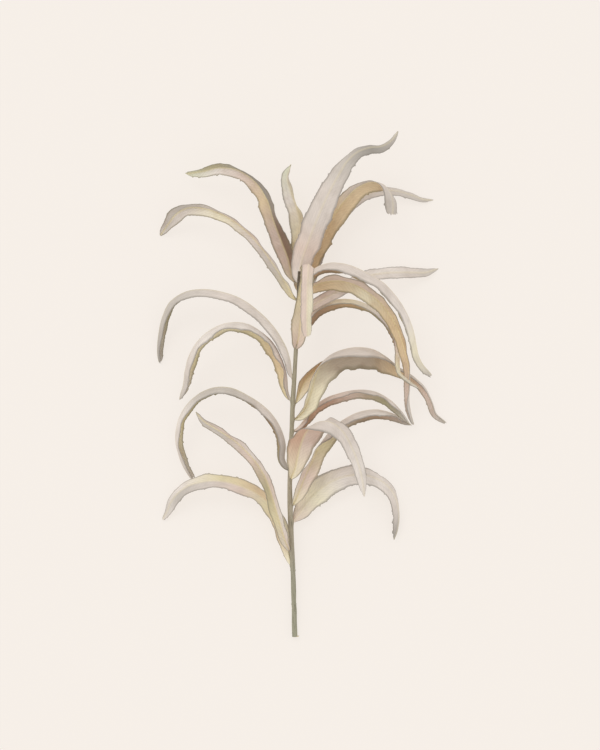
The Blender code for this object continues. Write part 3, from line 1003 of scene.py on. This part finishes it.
T = Tone
LEAVES = (
    Leaf(
        "leaf_crown_front",
        route=((-4, 131, 36), (-3, 142, 35.5), (0, 156, 39), (7.5, 177.5, 47), (19, 207, 58),
               (31, 234, 67), (45, 260, 73), (57, 279, 76), (70, 290, 76), (84, 295, 74), (99, 297, 71),
               (111, 304, 68), (119, 315, 64)),
        widths=(28, 31, 32, 24, 18, 11), lean=(-85, -85, -80, -75, -60, -60),
        fold=(26, 14, 12, 22, 45, 45), lobe=5, fray=1.3,
        outer=(T.PALE_GREY, T.BLUSH, T.GREY_PINK, T.GREY_PINK, T.GREY, T.DEEP_GREY, T.GREY),
        inner=(T.OCHRE, T.OCHRE, T.OCHRE, T.GREY),
    ),
    Leaf(
        "leaf_crown_left",
        route=((-6, 123, 38), (-13, 139, 23), (-18, 159, 19), (-26, 180, 24), (-35, 204, 34),
               (-44, 232, 43), (-59, 254, 46), (-80, 268, 42), (-103, 271.5, 34), (-126, 267, 24),
               (-146, 265, 12)),
        widths=(10, 26, 26, 22, 19, 12), lean=(95, 85, 75, 60, 55, 50), fold=(40, 40, 35, 30), fray=1.8,
        outer=(T.GREY_PINK, T.GREY, T.DEEP_GREY, T.DEEP_GREY, T.OLIVE, T.PALE_GREEN),
        # Painted shade: the hollow's upper half is painted dark brown as its shaded side, against the paler
        # lit lower half in inner_low.
        inner=(T.BROWN, T.DARK_BROWN, T.DARK_BROWN, T.DEEP_GREY, T.DEEP_GREY, T.OLIVE, T.PALE_GREEN),
        inner_low=(T.STRAW, T.BLUSH, T.BLUSH, T.OCHRE, T.BLUSH, T.PALE_GREY, T.PALE_GREEN),
    ),
    Leaf(
        "leaf_crown_back",
        route=((-4, 117, 36), (-1, 131, 19), (0, 150, 14.5), (-1, 172, 15), (-1.5, 197, 19),
               (-7.5, 222, 24), (-15, 243, 29), (-18.5, 258, 33), (-14, 275, 36)),
        widths=(16, 26, 25, 15), lean=(-50, -50, -50), fold=(35, 30),
        outer=(T.OCHRE, T.STRAW, T.CREAM, T.PALE_GREY, T.PALE_GREEN),
        inner=(T.STRAW, T.CREAM),
        outer_low=(T.OLIVE, T.GREY, T.STRAW, T.GREY),
    ),
    Leaf(
        "leaf_crown_hooked",
        route=((-1, 116, 38), (5, 132, 24), (12, 160, 20), (24, 186, 27), (39, 211, 37), (53, 230, 44),
               (69, 246, 49), (88, 253, 54), (102, 249, 56), (111, 237, 55), (113.5, 225, 51),
               (113, 212, 46)),
        widths=(8, 25, 31, 31, 27, 21), lean=(50, 62, 68, 70, 45, -60), fold=(35, 32, 28, 30),
        tip=0.7, fray=1.6,
        outer=(T.ROSE, T.BLUSH, T.GREY_PINK, T.GREY_PINK, T.GREY_PINK, T.GREY),
        inner=(T.BROWN, T.DEEP_OCHRE, T.DEEP_OCHRE, T.OCHRE, T.GREY_PINK, T.GREY, T.GREY_PINK),
        inner_low=(T.ROSE, T.OCHRE, T.OCHRE, T.OCHRE, T.OCHRE, T.GREY_PINK),
    ),
    Leaf(
        "leaf_crown_right",
        route=((-1, 107, 36), (8, 126, 20), (18, 156, 12), (32, 188, 13), (54, 218, 17), (80, 238, 20),
               (102, 244, 20), (120, 243, 17), (138, 238, 13), (152, 233, 9), (164, 232, 6)),
        widths=(12, 15, 15, 14, 13, 8), lean=(-40, -40, -50, -50), fold=(35, 30), rests=True,
        outer=(T.GREY, T.GREY, T.GREY_PINK, T.GREY),
        inner=(T.OCHRE, T.GREY),
    ),
    Leaf(
        "leaf_left_1",
        route=((-9, 106, 40), (-20, 123, 40), (-34, 143, 40), (-50, 166, 41), (-71.5, 190, 42),
               (-97, 208, 40), (-121, 217, 35), (-144, 218.5, 28), (-159, 211, 20), (-167, 202, 13),
               (-177.5, 188, 6)),
        widths=(16, 16, 16, 18, 22, 15), lean=(50, 55, 55, 55, 55),
        fold=(40, 40, 40, 30), centred=True, rests=True,
        outer=(T.CREAM, T.PALE_GREY, T.BLUSH, T.GREY_PINK, T.GREY_PINK, T.GREY, T.PALE_GREY),
        inner=(T.CREAM, T.GREY_PINK, T.BLUSH, T.GREY_PINK, T.GREY, T.GREY_PINK),
        inner_low=(T.STRAW, T.GREY, T.GREY_PINK, T.CREAM, T.GREY_PINK, T.GREY),
    ),
    Leaf(
        "leaf_left_2",
        route=((-12, 9, 33), (-17, 28, 35), (-27, 50, 37), (-41, 71, 40), (-58, 88, 43), (-79, 103, 45),
               (-101, 111, 44), (-122, 114.5, 41), (-144, 112, 35), (-161, 102, 28), (-170, 85, 20),
               (-175.5, 62, 12), (-177.5, 44, 7), (-178, 28, 4)),
        widths=(18, 23, 23, 21, 20, 17), lean=(-8, -12, -12, -10, -5),
        fold=(50, 50), centred=True, tip=0.35, rests=True, fray=0.5,
        outer=(T.GREY_PINK, T.PALE_GREY, T.GREY_PINK, T.GREY_PINK, T.GREY, T.GREY, T.DEEP_GREY),
        inner=(T.DARK_BROWN, T.BROWN, T.OLIVE, T.OLIVE, T.GREY),
        outer_low=(T.GREY, T.OLIVE, T.GREY, T.GREY, T.DEEP_GREY, T.DEEP_GREY, T.DEEP_GREY),
    ),
    Leaf(
        "leaf_left_3",
        route=((-15, -19, 31), (-19, -7, 31), (-24.5, 11.5, 32), (-32, 31, 35), (-42, 49, 38),
               (-56, 62, 42), (-73, 71, 45), (-92, 71.5, 46), (-111, 64, 44), (-125, 52, 40),
               (-135, 36, 35), (-140.5, 18, 28), (-144.5, -1, 20), (-153, -18, 12)),
        widths=(18, 28, 28, 27, 27, 20), lean=(20, 25, 22, 12, 5),
        fold=(42, 45, 45), centred=True, fray=1.2,
        outer=(T.GREY_PINK, T.BLUSH, T.PALE_GREY, T.PALE_GREY, T.PALE_GREY, T.GREY_PINK, T.GREY),
        inner=(T.STRAW, T.OCHRE, T.STRAW, T.CREAM, T.STRAW, T.PALE_GREY),
    ),
    Leaf(
        "leaf_left_4",
        route=((-19, -103, 24), (-23.5, -92, 25), (-25.5, -75, 26), (-31.5, -56, 28), (-42, -39, 31),
               (-56, -26, 34), (-72, -16, 37), (-88, -8.5, 39), (-104, -7, 39), (-120, -11.5, 37),
               (-135, -22, 33), (-146, -36, 28), (-152, -52, 22), (-154, -68, 17), (-151, -84, 12),
               (-147, -97, 8), (-141, -109, 5), (-136, -118, 3)),
        widths=(26, 23, 22, 22, 19, 16), lean=(8, 8, 8, 8), fold=(50, 50),
        tip=0.6, centred=True, lobe=4, rests=True,
        outer=(T.GREY, T.GREY_PINK, T.GREY_PINK, T.GREY, T.GREY, T.PALE_GREY, T.GREY_PINK, T.GREY),
        inner=(T.OLIVE, T.BROWN, T.OLIVE, T.STRAW, T.GREY),
        outer_low=(T.GREY, T.DEEP_GREY, T.GREY, T.OLIVE, T.DEEP_GREY, T.GREY, T.GREY, T.GREY),
    ),
    Leaf(
        "leaf_left_5",
        route=((-17, -209, 17), (-21, -195, 21), (-27, -174, 26), (-33, -154, 31), (-39, -134, 36),
               (-46, -115, 41), (-56, -98, 46), (-69, -83, 50), (-83, -70, 52), (-98, -60, 53),
               (-111, -52, 52), (-122, -45, 50), (-132, -34, 47)),
        widths=(13, 18, 17, 17, 14, 9), lean=(70, 75, 75, 70), fold=(40, 38, 30),
        outer=(T.GREY_PINK, T.PALE_GREY, T.GREY_PINK, T.GREY_PINK, T.GREY),
        inner=(T.BLUSH, T.PALE_GREY, T.BLUSH, T.PALE_GREY, T.BLUSH, T.GREY),
        inner_low=(T.GREY_PINK, T.STRAW, T.OLIVE, T.BLUSH, T.GREY, T.GREY),
    ),
    Leaf(
        "leaf_left_6",
        route=((-16, -226, 11), (-17.5, -210, 11), (-21, -193, 12), (-27, -175, 15), (-35, -158, 19),
               (-46, -144, 24), (-60, -134, 29), (-77, -126.5, 33), (-93, -121.5, 35),
               (-110, -119.5, 35), (-127, -121.5, 33), (-142, -126, 28), (-156, -136, 22),
               (-165, -148, 15), (-169, -158, 9), (-175, -169, 4)),
        widths=(15, 21, 21, 20, 18, 13), lean=(-75, -75, -70, -60), fold=(32, 28), tip=0.25, rests=True,
        outer=(T.CREAM, T.OCHRE, T.STRAW, T.BLUSH, T.GREY_PINK, T.GREY, T.PALE_GREY),
        inner=(T.OCHRE, T.OCHRE),
        outer_low=(T.STRAW, T.CREAM, T.OCHRE, T.STRAW, T.PALE_GREY, T.GREY),
    ),
    Leaf(
        "leaf_front_1",
        route=((-6, 49, 42), (-4, 60, 45), (-2, 78, 51), (2, 100, 60), (5, 124, 72), (7, 142, 85),
               (8, 150, 96), (8, 146, 105), (7, 128, 109), (6.5, 106, 107), (6, 84, 101), (6.5, 60, 92)),
        widths=(26, 24, 20, 17, 17, 15), lean=(90, 90, 90), fold=(32, 28), lobe=5, tip=0.65, fray=1.2,
        outer=(T.STRAW, T.STRAW, T.BLUSH, T.BLUSH, T.BLUSH, T.BLUSH),
        outer_low=(T.STRAW, T.STRAW, T.CREAM, T.BLUSH, T.CREAM, T.CREAM),
        inner=(T.BLUSH, T.STRAW, T.CREAM, T.CREAM),
    ),
    Leaf(
        "leaf_front_2",
        route=((-13, -118, 28), (-9, -106, 31), (-5, -88, 38), (0, -70, 48), (7, -56, 62), (18, -47, 73),
               (32, -45, 78), (45, -52, 78), (55, -64, 74), (63, -80, 67), (70, -98, 59), (75, -118, 51),
               (78, -139, 43)),
        widths=(16, 33, 42, 24, 18, 11), lean=(90, 85, 40, -30, -50, -50), fold=(22, 18, 25, 30),
        outer=(T.GREY, T.GREY, T.GREY_PINK, T.GREY_PINK, T.PALE_GREY, T.PALE_GREY),
        inner=(T.CREAM, T.ROSE, T.ROSE, T.BROWN, T.GREY),
        inner_low=(T.CREAM, T.BLUSH, T.ROSE, T.BROWN, T.GREY),
    ),
    Leaf(
        "leaf_right_1",
        route=((0, 88, 36), (12, 98, 35), (28, 108, 34), (46, 117, 32), (66, 129, 32), (85, 137, 31),
               (104, 140, 28), (122, 141, 23), (140, 141, 16), (155, 141, 10), (171, 146, 4)),
        widths=(13, 15, 15, 15, 14, 8), lean=(-85, -85, -85), fold=(15, 12), rests=True, fray=0.4,
        outer=(T.BLUSH, T.BLUSH, T.PALE_GREY, T.PALE_GREY, T.GREY_PINK, T.GREY),
        inner=(T.OCHRE, T.BLUSH),
    ),
    Leaf(
        "leaf_right_2",
        route=((0, 124, 44), (8, 134, 50), (21, 142, 57), (39, 146, 64), (58, 143, 68), (78, 134, 69),
               (97, 123, 67), (112, 108, 63), (124.5, 90, 58), (133, 71, 53), (138, 51, 49),
               (141, 37, 45), (148, 23, 38), (161, 11, 30)),
        widths=(18, 30, 32, 28, 24, 18), lean=(20, 22, 18, 12, 10), fold=(45, 45, 40),
        tip=0.4, centred=True,
        outer=(T.BLUSH, T.GREY_PINK, T.GREY_PINK, T.GREY_PINK, T.PALE_GREY, T.CREAM, T.GREY),
        inner=(T.DEEP_OCHRE, T.BROWN, T.OCHRE, T.CREAM, T.STRAW, T.STRAW, T.GREY),
    ),
    Leaf(
        "leaf_right_3",
        route=((-1, 111, 41), (10, 121, 40), (26, 128, 40), (46, 130, 41), (65, 125.5, 41),
               (82, 116, 40), (97, 103.5, 38), (110, 87.5, 35), (120, 69, 32), (128, 46, 30),
               (133.5, 24, 29), (135, 2, 27), (134, -18, 21), (136.5, -36, 13), (140, -49, 9)),
        widths=(16, 25, 25, 20, 17, 16, 14), lean=(60, 62, 60, 30, 0), fold=(34, 32, 40), tip=0.4,
        outer=(T.BLUSH, T.BLUSH, T.BLUSH, T.GREY_PINK, T.BLUSH, T.PALE_GREY, T.GREY),
        inner=(T.OCHRE, T.BLUSH, T.BLUSH, T.OCHRE, T.DEEP_OCHRE, T.BLUSH, T.GREY_PINK),
        inner_low=(T.OCHRE, T.OCHRE, T.CREAM, T.OCHRE, T.OCHRE, T.BLUSH, T.GREY_PINK),
    ),
    Leaf(
        "leaf_right_4",
        route=((-2, 68, 38), (8, 79, 30), (20, 91, 22.5), (36, 99, 19.5), (54, 102, 19), (74, 99, 19),
               (92, 90, 19), (106, 76, 18), (115, 60, 16.5), (119, 42, 20), (119, 27, 33), (121, 14, 41),
               (131, 5, 42), (146, -5, 38)),
        widths=(19, 26, 22, 17, 14, 11), lean=(40, 20, 5, 0, -10, -20), fold=(45, 45, 40), centred=True,
        outer=(T.BLUSH, T.GREY_PINK, T.CREAM, T.PALE_GREY, T.BLUSH, T.CREAM, T.GREY),
        inner=(T.BROWN, T.BROWN, T.DEEP_OCHRE, T.OLIVE, T.BROWN, T.STRAW, T.GREY),
    ),
    Leaf(
        "leaf_right_5",
        route=((-6, -24, 29), (-2, -8, 26), (6, 8, 23), (20, 20.5, 21), (39, 27.5, 20), (60, 28, 18),
               (80, 25, 14), (98, 20, 9)),
        widths=(13, 21, 20, 16, 14, 8), lean=(70, 70, 60), fold=(42, 40),
        outer=(T.GREY_PINK, T.BLUSH, T.GREY_PINK),
        inner=(T.STRAW, T.DEEP_OCHRE, T.DEEP_OCHRE, T.BLUSH, T.GREY_PINK),
        inner_low=(T.CREAM, T.OCHRE, T.OCHRE, T.GREY_PINK),
    ),
    Leaf(
        "leaf_right_6",
        route=((-7, -43, 30), (4, -33, 34), (15, -14, 39), (25, 7, 43), (39, 24, 44), (58, 32, 42),
               (78, 33, 37), (98, 27, 25), (117, 17, 15), (136, 7, 10), (151, -6, 8), (160, -23, 6),
               (166, -38, 5), (180, -48, 4)),
        widths=(16, 28, 46, 46, 22, 14, 12), lean=(65, 50, 12, 10, 5, 0),
        fold=(40, 45, 54, 50, 42), tip=0.35, centred=True,
        upper_share=0.42, rests=True,
        outer=(T.BLUSH, T.GREY_PINK, T.GREY_PINK, T.GREY_PINK, T.GREY, T.GREY_PINK, T.GREY),
        inner=(T.CREAM, T.CREAM, T.TAUPE, T.TAUPE, T.OCHRE, T.BLUSH, T.GREY),
    ),
    Leaf(
        "leaf_right_7",
        route=((-8, -58, 24), (2, -48, 22), (16, -33, 22), (34, -21, 24), (53, -15, 26), (72, -12, 27),
               (90, -14, 27), (106, -22, 25), (120, -34, 21), (134, -49, 17)),
        widths=(16, 22, 24, 24, 20, 13), lean=(20, 30, 28), fold=(47, 47), centred=True,
        outer=(T.BLUSH, T.BLUSH, T.BLUSH, T.GREY_PINK, T.PALE_GREY, T.GREY),
        inner=(T.BROWN, T.ROSE, T.BLUSH, T.OLIVE, T.GREY),
    ),
    Leaf(
        "leaf_right_8",
        route=((-11, -151, 21), (-4, -137, 26), (6, -117, 31), (18, -96, 35), (31, -74, 38),
               (43, -59, 38), (57, -48, 35), (74, -40, 30), (92, -37, 24), (110, -40, 18),
               (124, -45, 12), (137, -51, 7)),
        widths=(16, 26, 28, 29, 25, 14), lean=(70, 60, 20, 5, 5),
        fold=(38, 42, 50, 45), centred=True, rests=True, fray=1.2,
        outer=(T.GREY_PINK, T.PALE_GREY, T.GREY_PINK, T.GREY_PINK, T.PALE_GREY, T.GREY),
        inner=(T.CREAM, T.BLUSH, T.STRAW, T.TAUPE, T.BROWN, T.GREY),
    ),
    Leaf(
        "leaf_right_9",
        route=((-9, -172, 15), (-2, -160, 13), (10, -144, 12), (25, -130, 14), (43, -119, 17),
               (63, -114, 20), (82, -115, 21), (98, -122, 19), (110, -134, 15), (116, -149, 11),
               (118, -166, 7), (117, -181, 4), (115, -194, 2)),
        widths=(16, 32, 29, 21, 18, 15), lean=(-85, -80, -70, -50, -35),
        fold=(18, 18, 30, 35), centred=True,
        rests=True, fray=1.6,
        outer=(T.BLUSH, T.CREAM, T.PALE_GREY, T.PALE_GREY, T.GREY_PINK, T.DEEP_GREY),
        inner=(T.OCHRE, T.GREY),
    ),
)


@dataclass(frozen=True)
class Spray:
    """The stem with all its leaves."""

    stem: Stem
    leaves: tuple[Leaf, ...]
    seed: int = 40

    def claws(self) -> list[tuple[float, float]]:
        """y and angle round the stem of each place where a leaf grows out."""
        found = []
        for leaf in self.leaves:
            centre, _ = self.stem.middle(leaf.route[0][1])
            toward = np.array(leaf.route[0], float) - centre
            found.append((float(centre[1]), math.atan2(toward[2], toward[0])))
        return found

    def build(self) -> None:
        """Makes the finishes, the stem and every leaf."""
        bark, wood = DriedBark().make(), CutWood().make()
        # The rim colours of both faces are painted shade along the blade edges.
        outer = DriedBlade(
            name="dried_leaf_outer_face", tones="outer_tone", rib="E6D9B4", vein="B8ABA0", rim_shade="867F76",
            stain="A89B8E", rib_share=0.28, stain_share=0.25,
        ).make()
        inner = DriedBlade(
            name="dried_leaf_hollow_face", tones="inner_tone", rib="E9DCB0", vein="A98C68", rim_shade="82785F",
            stain="A07C58", rib_share=0.5, stain_share=0.22,
        ).make()
        self.stem.build(self.claws(), (bark, wood))
        for number, leaf in enumerate(self.leaves):
            leaf.build(self.stem, np.random.default_rng(self.seed + number), (outer, inner))


@dataclass(frozen=True)
class Studio:
    """A plain pale ground, an even bright room, one broad soft lamp, and the camera straight above.

    frame_height: how much of the ground the picture shows from top to bottom, in millimetres.
    frame_level: the height above the ground at which that holds.
    aim: the point of the routes' frame that the camera looks at.
    """

    ground: str = "F6EFE8"
    ground_size: float = 8.0
    glow: float = 0.8
    room: float = 0.88
    lamp: float = 0.6
    lamp_turn: tuple[float, float, float] = (-34.0, -26.0, 0.0)
    lamp_spread: float = 30.0
    lens: float = 250.0
    sensor: float = 36.0
    frame_height: float = 937.5
    frame_level: float = 30.0
    aim: tuple[float, float] = (-2.5, 12.5)

    def make_ground(self) -> None:
        """Lays the pale ground, which glows a little so that shadows stay weak."""
        bpy.ops.mesh.primitive_plane_add(size=self.ground_size, location=(0.0, 0.0, 0.0))
        ground = bpy.context.object
        ground.name = "pale_ground"
        material = bpy.data.materials.new("pale_paper")
        material.use_nodes = True
        shader = material.node_tree.nodes["Principled BSDF"]
        colour = linear(self.ground)
        shader.inputs["Base Color"].default_value = (*(c * (1 - self.glow) for c in colour[:3]), 1.0)
        shader.inputs["Roughness"].default_value = 1.0
        shader.inputs["Specular IOR Level"].default_value = 0.0
        shader.inputs["Emission Color"].default_value = colour
        shader.inputs["Emission Strength"].default_value = self.glow
        ground.data.materials.append(material)

    def make_light(self) -> None:
        """Sets the even light of the room and the broad lamp from the upper left."""
        world = bpy.context.scene.world or bpy.data.worlds.new("room")
        bpy.context.scene.world = world
        world.use_nodes = True
        world.node_tree.nodes["Background"].inputs["Color"].default_value = linear("FFFEFC")
        world.node_tree.nodes["Background"].inputs["Strength"].default_value = self.room
        bpy.ops.object.light_add(type="SUN", rotation=[math.radians(a) for a in self.lamp_turn])
        lamp = bpy.context.object
        lamp.name = "broad_lamp"
        lamp.data.energy = self.lamp
        lamp.data.angle = math.radians(self.lamp_spread)

    def make_camera(self) -> None:
        """Hangs the camera above the spray, looking straight down."""
        distance = self.frame_height * self.lens / self.sensor + self.frame_level
        place = (np.array((*self.aim, distance)) - SPRAY_MIDDLE) * MM
        bpy.ops.object.camera_add(location=place, rotation=(0.0, 0.0, 0.0))
        camera = bpy.context.object
        camera.name = "camera_above"
        camera.data.sensor_fit = "VERTICAL"
        camera.data.sensor_height = self.sensor
        camera.data.lens = self.lens
        camera.data.dof.use_dof = False
        camera.data.clip_end = 100.0
        bpy.context.scene.camera = camera

    def build(self) -> None:
        """Sets up the ground, the light, the camera and plain colours on screen."""
        self.make_camera()
        self.make_light()
        self.make_ground()
        bpy.context.scene.view_settings.view_transform = "Standard"


def main() -> None:
    """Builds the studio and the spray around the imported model."""
    logging.basicConfig(level=logging.INFO, format="%(message)s")
    bpy.ops.object.select_all(action="DESELECT")
    Studio().build()
    Spray(Stem(), LEAVES).build()


if __name__ == "__main__":
    main()
